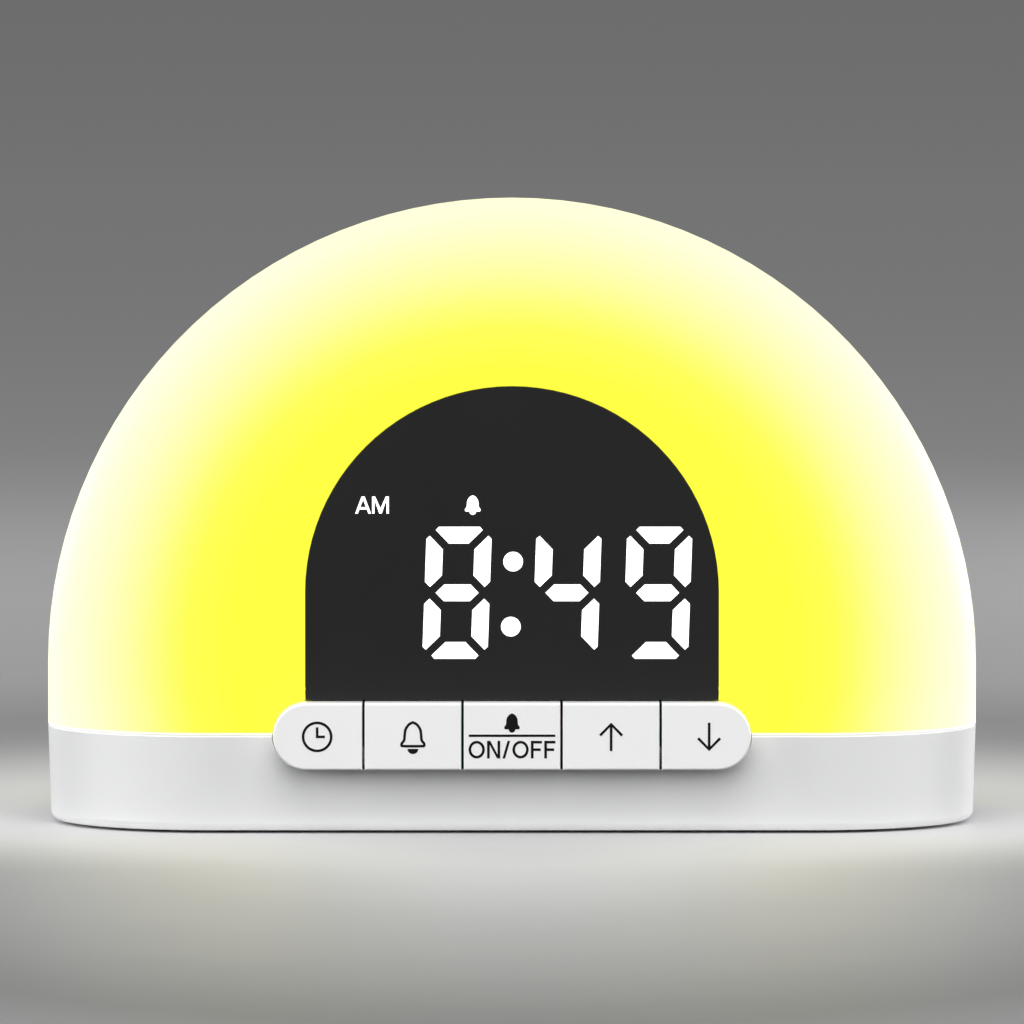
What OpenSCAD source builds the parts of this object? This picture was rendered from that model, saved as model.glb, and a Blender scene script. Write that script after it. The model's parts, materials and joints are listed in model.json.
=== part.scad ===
// Sunrise alarm clock: a half-disc light diffuser on a low base, with an arched
// display and a row of five keys. Millimetres, +Z up, the front faces -Y, and the
// origin lies on the table under the middle of the body.

/* [Body] */
// Width of the body
body_w = 165; // [156:1:172]
// Depth of the body, front to back
body_d = 58; // [56:0.5:62]
// Height from the table to the top of the diffuser
body_h = 110.9; // [110:0.1:116]
// Height of the seam between base and diffuser
seam_z = 17.5; // [16.9:0.1:18.5]
// Wall of the diffuser
dome_wall = 2; // [1.6:0.1:2.4]
// Wall of the base at the seam
base_wall = 2; // [1.6:0.1:2.4]
// How far each side of the base draws in towards the table
base_draft = 0.5; // [0:0.1:0.6]
// Radius of the base's lower edge
edge_r = 1.5; // [1.2:0.1:2.3]
// Width of the base's lower rim, outside the cover
rim_w = 3; // [2.9:0.1:3.6]
// Height of the tongue that the diffuser fits over
tongue_h = 2.5; // [2.2:0.1:3]
// Thickness of the tongue
tongue_t = 1.5; // [1.2:0.1:2]
// Clearance between tongue and diffuser
tongue_clear = 0.15; // [0.1:0.05:0.25]
// Thickness of the deck that closes the base
deck_t = 2; // [1.6:0.1:2.4]
// Bevel along the top edge of the base, under the seam
seam_bevel = 0.4; // [0.2:0.1:0.6]

/* [Display] */
// Width of the display lens
lens_w = 72.6; // [70:0.2:75]
// Height of the display lens
lens_h = 55.2; // [53:0.2:55.6]
// Clearance around the lens in its window
lens_clear = 0.1; // [0.05:0.05:0.2]
// How far the lens flange reaches behind the diffuser
lens_flange_w = 1.4; // [1:0.1:2]
// Thickness of the lens flange
lens_flange_t = 1.2; // [0.8:0.1:1.6]
// Height of the digits
digit_h = 23.4; // [21:0.2:24.4]
// Width of a digit
digit_w = 11.6; // [11:0.1:12.4]
// Distance between the two digits of a pair
digit_pitch = 15.95; // [15:0.05:16.4]
// Distance from the colon to the nearest digit's middle
colon_pitch = 9.65; // [9.3:0.05:10]
// Diameter of a colon dot
colon_d = 3.6; // [3:0.1:4]
// Width of a segment's stroke
stroke = 3.1; // [2.6:0.1:3.2]
// Gap between two segments, square to their mitre
segment_gap = 1.3; // [1:0.1:1.5]
// Lean of the digits, in degrees
digit_lean = 2; // [0:0.5:4]
// Height of the digits above the lower edge of the lens
digit_rise = 7.2; // [6.2:0.1:7.8]
// Height of the status windows' middle above the digits
status_rise = 3.75; // [3.4:0.05:4.2]
// Depth of the block that holds the segments
block_t = 7; // [6:0.2:8]
// Thickness of the light-spreading fill of a segment
fill_t = 1.2; // [0.8:0.1:1.8]

/* [Keys] */
// Height of a key
key_h = 11.8; // [11.2:0.1:12.4]
// Distance between the middle keys
key_pitch = 17.4; // [16.8:0.1:18]
// Width of an end key, out to its round end
end_key_w = 15.9; // [15:0.1:17]
// Gap between two keys
key_gap = 0.45; // [0.3:0.05:0.7]
// How far the keys stand out from the front
key_proud = 4.5; // [3.5:0.1:5.5]
// Clearance around the key row in its opening
key_clear = 0.25; // [0.2:0.05:0.4]
// Wall of a key cap
key_wall = 1.2; // [0.9:0.1:1.6]
// Radius of a key's front edge
key_edge_r = 0.4; // [0.3:0.1:1]
// How far a key's flange reaches behind the front wall
key_flange_w = 0.9; // [0.7:0.1:1.1]
// Thickness of a key's flange
key_flange_t = 1.2; // [0.9:0.1:1.5]
// Distance from the inside of the front wall to the button board
board_set_back = 7.6; // [7.2:0.1:8.2]
// Side of a tactile switch
switch_w = 6; // [5:0.5:6.5]
// Height of a tactile switch's body
switch_h = 3.5; // [3.3:0.1:3.8]
// Height of a tactile switch with its stem
switch_total = 5; // [4.8:0.1:5.2]
// Diameter of a switch stem
stem_d = 3.4; // [3:0.1:3.6]

/* [Base] */
// Gap under the body, which the feet hold open
foot_gap = 0.5; // [0.4:0.1:1.2]
// Diameter of a rubber foot
foot_d = 10; // [8:0.5:11]
// How deep a foot is let into the cover
foot_inset = 0.8; // [0.5:0.1:1]
// Thickness of the bottom cover
cover_t = 2; // [1.8:0.1:2.4]
// Clearance around the bottom cover
cover_clear = 0.15; // [0.1:0.05:0.3]
// Thickness of every circuit board
pcb_t = 1.6; // [1.2:0.1:1.6]
// Height of the main board above the cover
board_rise = 6; // [5.6:0.1:6.6]
// Width of the main board
main_board_w = 46; // [42:0.5:46]
// Diameter of the speaker
speaker_d = 28; // [24:0.5:28]
// How far the speaker and the cell door lie in from the middle of a round end
end_inset = 7.5; // [6.5:0.5:8.5]
// Diameter of the backup cell
cell_d = 20; // [20:0.1:20.4]
// Thickness of the backup cell
cell_t = 3.2; // [2.5:0.1:3.2]
// Turn that unlocks the cell door, in degrees
door_turn = 45; // [40:1:50]
// Width of the power socket
socket_w = 8.94; // [8.8:0.02:9.1]
// Height of the power socket
socket_h = 3.2; // [3.1:0.02:3.3]

/* [Lamp] */
// Radius of the arch of the lamp board
lamp_board_r = 50; // [47:0.5:51]
// Radius of the arc of lamps
lamp_arc_r = 44; // [42:0.5:45]
// Lamps on each arc
lamp_count = 13; // [7:1:15]
// Thickness of the light tower
tower_t = 2; // [1.6:0.1:2.6]
// Width of the light tower
tower_w = 56; // [54:0.5:58]
// Depth of the tower's foot, behind its plate
tower_foot_l = 20; // [19:0.5:21]

/* [Hidden] */
$fn = 72;

WHITE = [0.93, 0.93, 0.92];
GLOW = [1, 0.96, 0.4];
BLACK = [0.13, 0.13, 0.14];
BOARD = [0.1, 0.36, 0.22];
STEEL = [0.75, 0.76, 0.78];
LIT = [1, 1, 0.98];
EPS = 0.01;
// How far a cut runs past the face that it opens
over = 1;

// Body: a disc with a full-round rim, cut off at the seam
rim_r = body_d / 2;
disc_r = body_w / 2;
disc_z = body_h - disc_r;
flat_half = disc_r - rim_r;
front_in = -rim_r + dome_wall;
tongue_out = rim_r - dome_wall - tongue_clear;
tongue_in = tongue_out - tongue_t;
tongue_root = 0.3;
tongue_below = 1;
deck_z = seam_z - deck_t;
cover_z = foot_gap + cover_t;
cover_r = rim_r - rim_w - cover_clear;
ledge_w = 2;
ledge_t = 1.6;
snap_inset = 4.5;
snap_x = flat_half - snap_inset;
snap_w = 6;
snap_h = 1.2;
snap_out = 0.5;
snap_root = 0.5;
snap_clear = 0.15;
snap_rise = 1.45;
snap_z = seam_z + snap_rise;

// Keys: a row centred on the seam
row_z = seam_z;
row_half = 1.5 * key_pitch + end_key_w;
key_r = key_h / 2;
spine_half = row_half - key_r;
key_front = -rim_r - key_proud;
key_bevel = 0.25;
key_in_r = 0.3;
wall_in = -rim_r + max(dome_wall, base_wall);
key_seat_gap = 0.05;
key_flange_y = wall_in + key_seat_gap;
key_flange_back = key_flange_y + key_flange_t;
key_post_d = 4.2;
end_post_shift = 0.3;
end_key_x = 1.5 * key_pitch + end_key_w / 2 - end_post_shift;
key_x = [-end_key_x, -key_pitch, 0, key_pitch, end_key_x];
stem_clear = 0.05;
stem_in = 1.2;
stem_bore = 2.4;
button_board_y = wall_in + board_set_back;
button_board_back = button_board_y + pcb_t;
switch_top_y = button_board_y - switch_total;
board_over = 1.2;
board_end_in = 0.5;
button_board_half = row_half - board_end_in;
button_board_z = row_z - key_r - board_over;
button_board_h = key_h + 2 * board_over;
notch_gap = 0.5;
notch_half = row_half + key_flange_w + notch_gap;
apron_t = 1.8;
button_screw_x = 1.5 * key_pitch;
button_screw_z = button_board_z + 2.5;
button_boss_h = 3;

// Display, built up from the lens to the light tower
lens_z = row_z + key_r + key_clear;
lens_arc_z = lens_z + lens_h - lens_w / 2;
sill = 2.2;
flange_in = 1;
flange_sill = 1.2;
case_z = lens_z + sill;
case_front = front_in + lens_flange_t;
case_w = lens_w + 2 * lens_flange_w;
case_wall = 1.5;
case_in_w = case_w - 2 * case_wall;
block_gap = 0.1;
block_y = front_in + block_gap;
block_back = block_y + block_t;
block_side = 1.1;
block_seat = 0.2;
board_side = 0.3;
post_h = 2.3;
case_back_in = block_back + pcb_t + post_h;
case_back = case_back_in + case_wall;
tower_back = case_back + tower_t;
digit_z = lens_z + digit_rise;
status_z = digit_z + digit_h + status_rise;
digit_x = [-colon_pitch - digit_pitch, -colon_pitch, colon_pitch, colon_pitch + digit_pitch];
colon_low = 0.245;
colon_high = 0.735;
flag_x = -24.6;
bell_x = -6.9;
flag_size = [6.6, 3.6];
bell_size = [3.6, 4.2];
block_over = 4;
block_top = status_z + block_over;
mitre_flat = 0.65;
mitre_cut = 1.25;
cross_in = 1;
led_size = [2, 0.7, 1.25];
case_bolt_low = [14, 11.35];
case_bolt_high = [9, 16];
case_bolts = [for (side = [-1, 1],
  p = [case_bolt_low + [0, case_z], case_bolt_high + [0, lens_arc_z]]) [side * p[0], p[1]]];
display_bolts = [for (side = [-1, 1]) [side * (colon_pitch + digit_pitch / 2), digit_z + digit_h / 2]];
display_screw_in = 4.5;

// Lamp board and tower
lamp_y = -pcb_t / 2;
lamp_board_rise = 6;
lamp_board_z = seam_z + lamp_board_rise;
lamp_window_r = 9;
standoff_r = 3;
lamp_bolt_r = tower_w / 2 - standoff_r - 0.5;
lamp_bolts = [for (side = [-1, 1], p = [[tower_w / 2 - 2 * standoff_r, lamp_board_z + 5.2],
  [lamp_bolt_r * cos(45), lens_arc_z + lamp_bolt_r * sin(45)]]) [side * p[0], p[1]]];
lamp_screw_in = 5;
lamp_size = [3.5, 0.8, 2.8];
lamp_step = 180 / (lamp_count - 1);
tower_foot_t = 2.2;
tower_bolt_x = 12;
tower_bolts = [for (x = [-tower_bolt_x, tower_bolt_x], from_end = [4, 14])
  [x, case_back + tower_foot_l - from_end]];
tower_boss_h = 2.6;
gusset_t = 1.8;
gusset_h = 16;
gusset_x = tower_w / 2 - 4;
gusset_end = 1.5;
gusset_y = lamp_y - gusset_end;

// Base inside
main_board_z = cover_z + board_rise;
main_board_top = main_board_z + pcb_t;
main_board_gap = 1.5;
main_board_y0 = button_board_back + apron_t + main_board_gap;
main_board_y1 = rim_r - base_wall - 1;
board_bolt_in = 4;
board_bolt_back = 7;
board_bolts = [for (x = [-1, 1], y = [main_board_y0 + board_bolt_in, main_board_y1 - board_bolt_back])
  [x * (main_board_w / 2 - board_bolt_in), y]];
board_screw_in = 3;
chip_w = 7;
chip_t = 1.2;
chip_y = 8.5;
can_d = 5;
can_h = 3.6;
can_x = 13;
cover_bolt_x = 29;
cover_bolt_in = 11;
cover_bolts = [for (side = [-1, 1], p = [[flat_half + rim_r / 2, 0], [cover_bolt_x, rim_r - cover_bolt_in]])
  [side * p[0], p[1]]];
rib_l = 44;
rib_t = 1.2;
rib_h = 1.6;
rib_y = 8;
foot_out = 8;
foot_in = 13.5;
foot_edge = 0.4;
foot_clear = 0.1;
foot_x = flat_half + foot_out;
foot_y = rim_r - foot_in;
socket_wall = 0.3;
socket_back_t = 1;
socket_l = 7.4;
socket_y1 = rim_r - 1.2;
socket_z = main_board_top + socket_h / 2;
socket_clear = 0.15;
socket_spine = (socket_w - socket_h) / 2;
recess_t = 0.8;
recess_w = 1.4;
tongue_size = [6.6, 5.6, 0.7];

// Screws: shaft radius, head radius, head height
M25 = [1.2, 2.4, 1.1];
M2 = [0.95, 1.9, 1.1];
cross_w = 0.5;
cross_share = 0.6;
thread_clear = 0.03;
bolt_clear = 0.15;
head_clear = 0.3;
head_sink = 0.1;
tip_room = 0.6;
screw_past = 1.4;
boss_r = 3;
slim_boss_r = 2.6;
cover_seat_z = foot_gap + M25[2] + head_sink;
cover_screw_l = 8.5;

// Cell door and its well, from the outer face up
door_x = flat_half - end_inset;
door_r = 12;
door_t = 1.5;
door_gap = 0.05;
coin_slot = [14, 1.8, 0.8];
spigot_r = cell_d / 2 + 0.8;
spigot_wall = 2.4;
lip_t = 0.9;
tab_t = 1.2;
tab_w = 1.5;
tab_half = 15;
gate_half = 17;
run_clear = 0.1;
groove_clear = 0.15;
lip_z = foot_gap + door_t + door_gap;
tab_z = lip_z + lip_t + run_clear;
spigot_z = tab_z + tab_t;
groove_z = spigot_z + 0.2;
pocket_z = groove_z + 0.2;
cell_clear = 0.2;
cell_z = spigot_z + 0.1;
cell_step_t = 0.35;
cell_step_w = 1.1;
roof_z = cell_z + cell_t + 0.6;
roof_t = 1.2;
well_r = spigot_r + tab_w + 1.7;
contact_t = 0.3;
contact_w = 2;
contact_l = 5.6;
contact_gap = 0.2;
dimple_d = 1.6;
clip_l = 4.8;
clip_r = cell_d / 2 + 0.35;

// Speaker, built up from the cover
speaker_x = flat_half - end_inset;
gasket_t = 0.8;
gasket_w = 2.4;
speaker_r = speaker_d / 2;
speaker_clear = 0.2;
speaker_ring_t = 1.2;
speaker_ring_h = 3;
speaker_flange_t = 1;
speaker_flange_w = 2;
basket_h = 4;
basket_t = 0.6;
magnet_r = speaker_r / 2;
magnet_h = 3;
speaker_z = cover_z + gasket_t;
cone_t = 0.4;
cone_h = 2.6;
cap_r = 3;
sound_hole_d = 1.8;
sound_ring_w = 3.3;

// Ribbons and the slots that they pass through
ribbon_t = 0.6;
ribbon_w = 14;
lamp_ribbon_w = 12;
slot_side = 1;
slot_face = 0.8;
display_ribbon_z = case_z + 8.35;
display_ribbon_y = tower_back + 2;
button_ribbon_z = button_board_z + 3;
button_ribbon_y = main_board_y0 + 1;

// ---- Shared shapes ----

// Extrudes an outline drawn in X and Z, from y_front back by depth
module facing(y_front, depth) {
  translate([0, y_front + depth, 0]) rotate([90, 0, 0]) linear_extrude(depth) children();
}

// Carries a section round a stadium: its x is the distance from the spine, its y the height
module round_sweep(half_len) {
  for (side = [0, 1]) {
    mirror([side, 0, 0]) translate([half_len, 0, 0]) rotate([0, 0, -90])
      rotate_extrude(angle = 180) children();
    mirror([0, side, 0]) translate([-half_len, 0, 0]) rotate([90, 0, 90])
      linear_extrude(2 * half_len) children();
  }
}

module stadium(half_len, r) {
  for (side = [-1, 1]) translate([side * half_len, 0]) circle(r = r);
  square([2 * half_len, 2 * r], center = true);
}

// An outline with a round top and straight sides down to z0
module arch(w, arc_z, z0) {
  intersection() {
    union() {
      translate([0, arc_z]) circle(d = w);
      translate([-w / 2, z0]) square([w, arc_z - z0]);
    }
    translate([-w, z0]) square([2 * w, arc_z + w]);
  }
}

// A pan-head screw that points up from z = 0, its head below
module screw(size, len) {
  difference() {
    union() {
      cylinder(r = size[0], h = len);
      translate([0, 0, -size[2]]) cylinder(r = size[1], h = size[2]);
    }
    for (turn = [0, 90]) rotate([0, 0, turn])
      translate([-size[1] * cross_share, -cross_w / 2, -size[2] - EPS])
        cube([2 * size[1] * cross_share, cross_w, size[2] * cross_share]);
  }
}

// Hole that a screw cuts its thread in
module screw_hole(size, len) {
  cylinder(r = size[0] + thread_clear, h = len);
}

// Hole that a screw passes through freely
module bolt_hole(size, len) {
  cylinder(r = size[0] + bolt_clear, h = len);
}

// Slot for a ribbon that lies flat and runs back from y0 through a wall
module level_slot(y0, wall, z) {
  translate([-ribbon_w / 2 - slot_side, y0 - over, z - ribbon_t / 2 - slot_face])
    cube([ribbon_w + 2 * slot_side, wall + 2 * over, ribbon_t + 2 * slot_face]);
}

// Slot for a ribbon that stands upright at y and runs up from z0 through a floor
module upright_slot(width, y, z0, floor_t) {
  translate([-width / 2 - slot_side, y - ribbon_t / 2 - slot_face, z0 - over])
    cube([width + 2 * slot_side, ribbon_t + 2 * slot_face, floor_t + 2 * over]);
}

// Places a part that points up so that it points back along +Y
module pointing_back(x, y, z) {
  translate([x, y, z]) rotate([-90, 0, 0]) children();
}

// Places a part that points up so that it points forward along -Y
module pointing_front(x, y, z) {
  translate([x, y, z]) rotate([90, 0, 0]) children();
}

// ---- Body ----

// Half of the disc's section: a slab with a full-round rim
module rim_section(inset) {
  r = rim_r - inset;
  translate([0, -r]) square([flat_half, 2 * r]);
  intersection() {
    translate([flat_half, 0]) circle(r = r);
    translate([flat_half, -r]) square([r, 2 * r]);
  }
}

// The half disc with its straight skirt down to z0
module body_form(inset, z0) {
  $fn = 120;
  translate([0, 0, disc_z]) rotate([90, 0, 0]) rotate_extrude(angle = 180) rim_section(inset);
  translate([0, 0, z0]) linear_extrude(disc_z - z0) stadium(flat_half, rim_r - inset);
}

module lens_outline(grow = 0, z0 = lens_z) {
  arch(lens_w + 2 * grow, lens_arc_z, z0);
}

module key_row_outline(grow = 0) {
  translate([0, row_z]) stadium(spine_half, key_r + grow);
}

module snap_lugs(grow) {
  for (x = [-snap_x, snap_x], side = [0, 1]) mirror([0, side, 0])
    translate([x - snap_w / 2 - grow, tongue_out - snap_root, snap_z - snap_h / 2 - grow])
      cube([snap_w + 2 * grow, snap_root + snap_out + grow, snap_h + 2 * grow]);
}

module diffuser_dome() {
  color(GLOW) difference() {
    body_form(0, seam_z);
    body_form(dome_wall, seam_z - over);
    facing(-rim_r - over, dome_wall + 2 * over) lens_outline(lens_clear, lens_z - over);
    facing(-rim_r - over, dome_wall + 2 * over) key_row_outline(key_clear);
    snap_lugs(snap_clear);
  }
}

// Section of the base's wall: rounded foot, draft, bevel at the seam and the cover's ledge
module base_section() {
  low_u = rim_r - base_draft;
  in_u = rim_r - base_wall;
  ledge_u = rim_r - rim_w;
  ledge_top = cover_z + ledge_t;
  rise = in_u - ledge_u + ledge_w;
  polygon([[ledge_u, foot_gap], [low_u - edge_r, foot_gap], [low_u - edge_r, foot_gap + edge_r],
    [low_u, foot_gap + edge_r], [rim_r, seam_z - seam_bevel], [rim_r - seam_bevel, seam_z],
    [in_u, seam_z], [in_u, ledge_top + rise],
    [ledge_u - ledge_w, ledge_top], [ledge_u - ledge_w, cover_z], [ledge_u, cover_z]]);
  intersection() {
    translate([low_u - edge_r, foot_gap + edge_r]) circle(r = edge_r);
    translate([low_u - edge_r, foot_gap]) square(edge_r);
  }
}

// Section of the tongue, rooted in the wall below the seam
module tongue_section() {
  root_u = rim_r - base_wall + tongue_root;
  low_z = deck_z - tongue_below;
  polygon([[tongue_in, low_z], [root_u, low_z], [root_u, seam_z],
    [tongue_out, seam_z], [tongue_out, seam_z + tongue_h], [tongue_in, seam_z + tongue_h]]);
}

// Room behind the key row, which the deck and the tongue stop short of
module key_notch() {
  low_z = deck_z - tongue_below - over;
  translate([-notch_half, -rim_r + base_wall, low_z])
    cube([2 * notch_half, button_board_back + rim_r - base_wall, seam_z + tongue_h + over - low_z]);
}

module base_bosses() {
  for (p = cover_bolts) translate([p[0], p[1], cover_z]) cylinder(r = boss_r, h = deck_z - cover_z + EPS);
  for (p = board_bolts) translate([p[0], p[1], main_board_top])
    cylinder(r = slim_boss_r, h = deck_z - main_board_top + EPS);
  for (p = tower_bolts) translate([p[0], p[1], deck_z - tower_boss_h])
    cylinder(r = slim_boss_r, h = tower_boss_h + EPS);
  for (x = [-button_screw_x, button_screw_x])
    pointing_back(x, button_board_back + apron_t - EPS, button_screw_z)
      cylinder(r = slim_boss_r, h = button_boss_h);
}

// Screw holes in the bosses, each open where its screw goes in
module base_holes() {
  for (p = cover_bolts) translate([p[0], p[1], cover_z - over])
    screw_hole(M25, cover_seat_z + cover_screw_l + tip_room - cover_z + over);
  for (p = board_bolts) translate([p[0], p[1], main_board_top - over])
    screw_hole(M2, over + board_screw_in + tip_room);
  for (p = tower_bolts) translate([p[0], p[1], deck_z - screw_past - tip_room])
    screw_hole(M25, screw_past + tip_room + deck_t + over);
  for (x = [-button_screw_x, button_screw_x])
    pointing_back(x, button_board_back - over, button_screw_z)
      screw_hole(M2, over + apron_t + screw_past + tip_room);
}

module base_housing() {
  color(WHITE) difference() {
    union() {
      round_sweep(flat_half) base_section();
      difference() {
        union() {
          round_sweep(flat_half) tongue_section();
          translate([0, 0, deck_z]) linear_extrude(deck_t) stadium(flat_half, tongue_in + tongue_t / 2);
        }
        key_notch();
      }
      translate([-notch_half, button_board_back, button_board_z])
        cube([2 * notch_half, apron_t, deck_z - button_board_z + EPS]);
      base_bosses();
      snap_lugs(0);
    }
    facing(-rim_r - over, base_wall + over + EPS) key_row_outline(key_clear);
    base_holes();
    socket_cutout();
    upright_slot(lamp_ribbon_w, 0, deck_z, deck_t);
    upright_slot(ribbon_w, display_ribbon_y, deck_z, deck_t);
    level_slot(button_board_back, apron_t, button_ribbon_z);
  }
}

// Opening for the power socket in the back wall, with a shallow recess round it
module socket_cutout() {
  translate([0, 0, socket_z]) {
    facing(rim_r - base_wall - over, base_wall + 2 * over)
      stadium(socket_spine, socket_h / 2 + socket_clear);
    facing(rim_r - recess_t, recess_t + over) stadium(socket_spine, socket_h / 2 + recess_w);
  }
}

module bottom_cover() {
  color(WHITE) difference() {
    union() {
      translate([0, 0, foot_gap]) linear_extrude(cover_t) stadium(flat_half, cover_r);
      translate([-door_x, 0, 0]) cylinder_between(well_r, cover_z - EPS, roof_z + roof_t);
      translate([speaker_x, 0, cover_z - EPS])
        cylinder(r = speaker_r + speaker_clear + speaker_ring_t, h = speaker_ring_h);
      for (y = [-rib_y, rib_y]) translate([-rib_l / 2, y - rib_t / 2, cover_z - EPS])
        cube([rib_l, rib_t, rib_h]);
    }
    translate([speaker_x, 0, cover_z]) cylinder(r = speaker_r + speaker_clear, h = speaker_ring_h + over);
    translate([speaker_x, 0, 0]) speaker_holes();
    translate([-door_x, 0, 0]) door_well();
    for (x = [-foot_x, foot_x], y = [-foot_y, foot_y]) translate([x, y, foot_gap - over])
      cylinder(d = foot_d + 2 * foot_clear, h = foot_inset + over);
    for (p = cover_bolts) translate([p[0], p[1], 0]) {
      cylinder(r = M25[1] + head_clear, h = cover_seat_z);
      bolt_hole(M25, cover_z + over);
    }
  }
}

// Rings of round holes in front of the speaker
module speaker_holes() {
  cylinder(d = sound_hole_d, h = cover_z + over);
  for (ring = [1:3], i = [0:6 * ring - 1]) rotate([0, 0, i * 60 / ring])
    translate([sound_ring_w * ring, 0, 0]) cylinder(d = sound_hole_d, h = cover_z + over);
}

module cylinder_between(r, z0, z1) {
  translate([0, 0, z0]) cylinder(r = r, h = z1 - z0);
}

// A ring-shaped cut from r0 to r1 and z0 up to z1, from one angle through a turn
module ring_cut(r0, r1, z0, z1, from, turn) {
  rotate([0, 0, from]) rotate_extrude(angle = turn) translate([r0, z0]) square([r1 - r0, z1 - z0]);
}

// Hollow of the cell well: door seat, lip with its gates, tab grooves and cell pocket
module door_well() {
  groove_r = spigot_r + tab_w + groove_clear;
  cylinder_between(door_r + run_clear, foot_gap - over, lip_z);
  cylinder_between(spigot_r + run_clear, 0, pocket_z);
  for (half = [0, 180]) {
    from = half - door_turn - gate_half;
    ring_cut(spigot_r - over, groove_r, lip_z + lip_t, groove_z, from, door_turn + 2 * gate_half);
    ring_cut(spigot_r - over, groove_r, lip_z - over / 2, lip_z + lip_t + over / 2, from, 2 * gate_half);
  }
  cylinder_between(cell_d / 2 + cell_clear, pocket_z - EPS, roof_z);
  translate([-contact_w / 2 - contact_gap, -contact_l / 2 - contact_gap, roof_z - over])
    cube([contact_w + 2 * contact_gap, contact_l + 2 * contact_gap, roof_t + 2 * over]);
  translate([clip_r - contact_gap - over / 2, -clip_l / 2 - contact_gap, cell_z])
    cube([contact_t + 2 * contact_gap + over / 2, clip_l + 2 * contact_gap, roof_z + roof_t + over - cell_z]);
}

// A flanged spigot with two bayonet tabs and a slot for a coin
module battery_door() {
  color(WHITE) translate([-door_x, 0, 0]) difference() {
    union() {
      cylinder_between(door_r, foot_gap, foot_gap + door_t);
      cylinder_between(spigot_r, foot_gap + door_t - EPS, spigot_z);
      for (half = [0, 180])
        ring_cut(spigot_r - over, spigot_r + tab_w, tab_z, spigot_z, half - tab_half, 2 * tab_half);
    }
    translate([-coin_slot[0] / 2, -coin_slot[1] / 2, foot_gap - over])
      cube([coin_slot[0], coin_slot[1], coin_slot[2] + over]);
    cylinder_between(spigot_r - spigot_wall, foot_gap + door_t, spigot_z + over);
  }
}

module backup_cell() {
  color(STEEL) translate([-door_x, 0, 0]) {
    cylinder_between(cell_d / 2 - cell_step_w, cell_z, cell_z + cell_t);
    cylinder_between(cell_d / 2, cell_z + cell_step_t, cell_z + cell_t);
  }
}

// A spring strip over the cell with a solder tail, and a clip at the cell's side
module cell_contacts() {
  strip_z = roof_z - contact_t;
  tail_w = 0.8;
  tail_l = 2.6;
  nib = [0.25, 2.4, 1];
  color(STEEL) translate([-door_x, 0, 0]) {
    translate([-contact_w / 2, -contact_l / 2, strip_z]) cube([contact_w, contact_l, contact_t]);
    translate([0, 0, strip_z - contact_gap]) cylinder(d = dimple_d, h = contact_gap + EPS);
    translate([-contact_w / 2, -tail_w / 2, roof_z - EPS]) cube([contact_w, tail_w, tail_l]);
    translate([clip_r, -clip_l / 2, cell_z + nib[2] / 2])
      cube([contact_t, clip_l, roof_z + roof_t + nib[2] / 2 - cell_z]);
    translate([clip_r - nib[0], -nib[1] / 2, cell_z + nib[2]]) cube([nib[0] + EPS, nib[1], nib[2]]);
  }
}

module rubber_feet() {
  color(BLACK) for (x = [-foot_x, foot_x], y = [-foot_y, foot_y]) translate([x, y, 0])
    rotate_extrude() polygon([[0, 0], [foot_d / 2 - foot_edge, 0], [foot_d / 2, foot_edge],
      [foot_d / 2, foot_gap + foot_inset], [0, foot_gap + foot_inset]]);
}

// ---- Display ----

module display_lens() {
  color(BLACK) {
    facing(-rim_r, dome_wall) lens_outline();
    difference() {
      facing(front_in, lens_flange_t) lens_outline(lens_flange_w, case_z);
      facing(front_in - over, lens_flange_t + 2 * over) lens_outline(-flange_in, case_z + flange_sill);
    }
  }
}

module display_case() {
  color(BLACK) difference() {
    union() {
      difference() {
        facing(case_front, case_back - case_front) case_outline(0);
        facing(case_front - over, case_back_in - case_front + over) case_outline(-case_wall);
      }
      for (p = case_bolts)
        pointing_front(p[0], case_back_in + EPS, p[1]) cylinder(r = slim_boss_r, h = post_h + EPS);
    }
    for (p = case_bolts) pointing_front(p[0], case_back + over, p[1])
      screw_hole(M2, case_wall + post_h + 2 * over);
    level_slot(case_back_in, case_wall, display_ribbon_z);
  }
}

// Outline of the display case, shrunk all round by a negative grow
module case_outline(grow) {
  arch(case_w + 2 * grow, lens_arc_z, case_z - grow);
}

// A segment's outline in a digit's own corner: x in from the left edge, y down from the top.
// Parts: 0 is a side bar above the crossing, 1 the top bar and 2 the middle bar.
function segment_points(part) =
  let (c = segment_gap / sqrt(2), w = digit_w, mid = digit_h / 2, t = stroke)
  part == 0 ? [[0, c + mitre_cut], [mitre_flat, c + mitre_flat], [t, c + t],
      [t, mid + cross_in - c - t], [cross_in, mid - c], [0, mid - c - cross_in]]
  : part == 1 ? [[c + mitre_cut, 0], [w - c - mitre_cut, 0], [w - c - mitre_flat, mitre_flat],
      [w - c - t, t], [c + t, t], [c + mitre_flat, mitre_flat]]
  : [[cross_in + c, mid], [cross_in + c + t / 2, mid - t / 2], [w - cross_in - c - t / 2, mid - t / 2],
      [w - cross_in - c, mid], [w - cross_in - c - t / 2, mid + t / 2], [cross_in + c + t / 2, mid + t / 2]];

// Places a digit's corner point at the digit's middle, with its lean
function leaned(p, flip_x, flip_y) =
  let (x = (flip_x ? digit_w - p[0] : p[0]) - digit_w / 2, y = flip_y ? p[1] : digit_h - p[1])
  [x + (y - digit_h / 2) * tan(digit_lean), y];

// The seven segments as [part, flip x, flip y], from the top bar clockwise, the middle bar last
SEGMENTS = [[1, false, false], [0, true, false], [0, true, true], [1, false, true],
  [0, false, true], [0, false, false], [2, false, false]];

module segment_outline(seg) {
  polygon([for (p = segment_points(seg[0])) leaned(p, seg[1], seg[2])]);
}

module digit_segments(place) {
  color(LIT) translate([digit_x[place], 0, digit_z]) for (seg = SEGMENTS)
    facing(block_y, fill_t) segment_outline(seg);
}

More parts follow.
